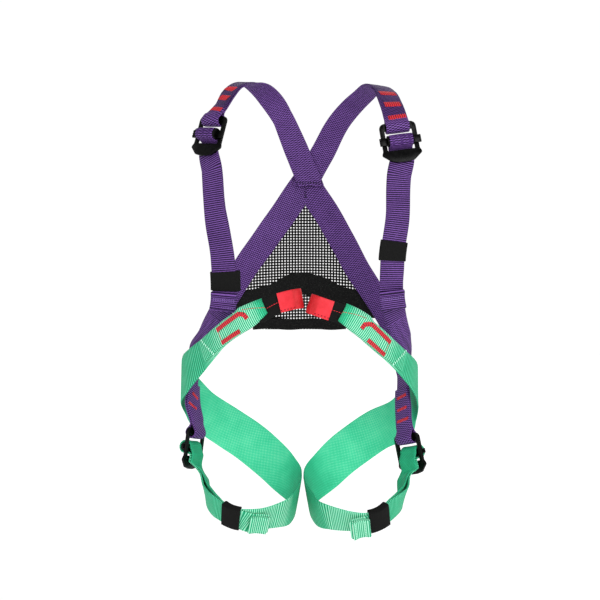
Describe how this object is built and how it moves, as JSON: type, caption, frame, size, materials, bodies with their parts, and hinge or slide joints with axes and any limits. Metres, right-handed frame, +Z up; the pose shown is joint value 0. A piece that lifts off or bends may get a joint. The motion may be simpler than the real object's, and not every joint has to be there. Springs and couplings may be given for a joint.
{
  "type": "full body climbing harness",
  "caption": "Full body climbing harness in its worn form: webbing shoulder, chest and back straps, leg loops, adjusting buckles, a net back panel and tie-in loops at the belly.",
  "frame": {"origin": "midway between the two places where the straps sit on the shoulders", "axes": "+Z up, +X to the picture's right, wearer's front towards -Y"},
  "size_m": [0.2644, 0.1881, 0.4827],
  "materials": {
    "purple_webbing": "ribbed polyester webbing, soft sheen",
    "green_webbing": "ribbed mint green polyester webbing, soft sheen",
    "black_elastic": "matte black elastic",
    "black_tape": "matte black tape",
    "red_sleeve": "red woven wear sleeve",
    "black_net": "open black net",
    "black_steel": "black coated steel, satin"
  },
  "bodies": {
    "root": {"shoulder_buckle_left": "black_steel", "shoulder_buckle_left_bar": "black_steel", "leg_buckle_left": "black_steel", "leg_buckle_left_bar": "black_steel", "shoulder_strap_left": "purple_webbing", "back_strap_left": "purple_webbing", "chest_strap_left": "purple_webbing", "leg_strap_left": "green_webbing", "tie_in_loop_left": "black_tape", "tie_in_sleeve_left": "red_sleeve", "chest_keeper_left": "black_elastic", "leg_keeper_left": "black_elastic", "shoulder_buckle_right": "black_steel", "shoulder_buckle_right_bar": "black_steel", "leg_buckle_right": "black_steel", "leg_buckle_right_bar": "black_steel", "shoulder_strap_right": "purple_webbing", "back_strap_right": "purple_webbing", "chest_strap_right": "purple_webbing", "leg_strap_right": "green_webbing", "tie_in_loop_right": "black_tape", "tie_in_sleeve_right": "red_sleeve", "chest_keeper_right": "black_elastic", "leg_keeper_right": "black_elastic", "back_mesh_far_left": "black_net", "back_mesh_left": "black_net", "back_mesh_middle": "black_net", "back_mesh_right": "black_net", "back_mesh_far_right": "black_net", "waist_band": "black_tape", "bottom_binding": "black_tape"}
  },
  "joints": []
}
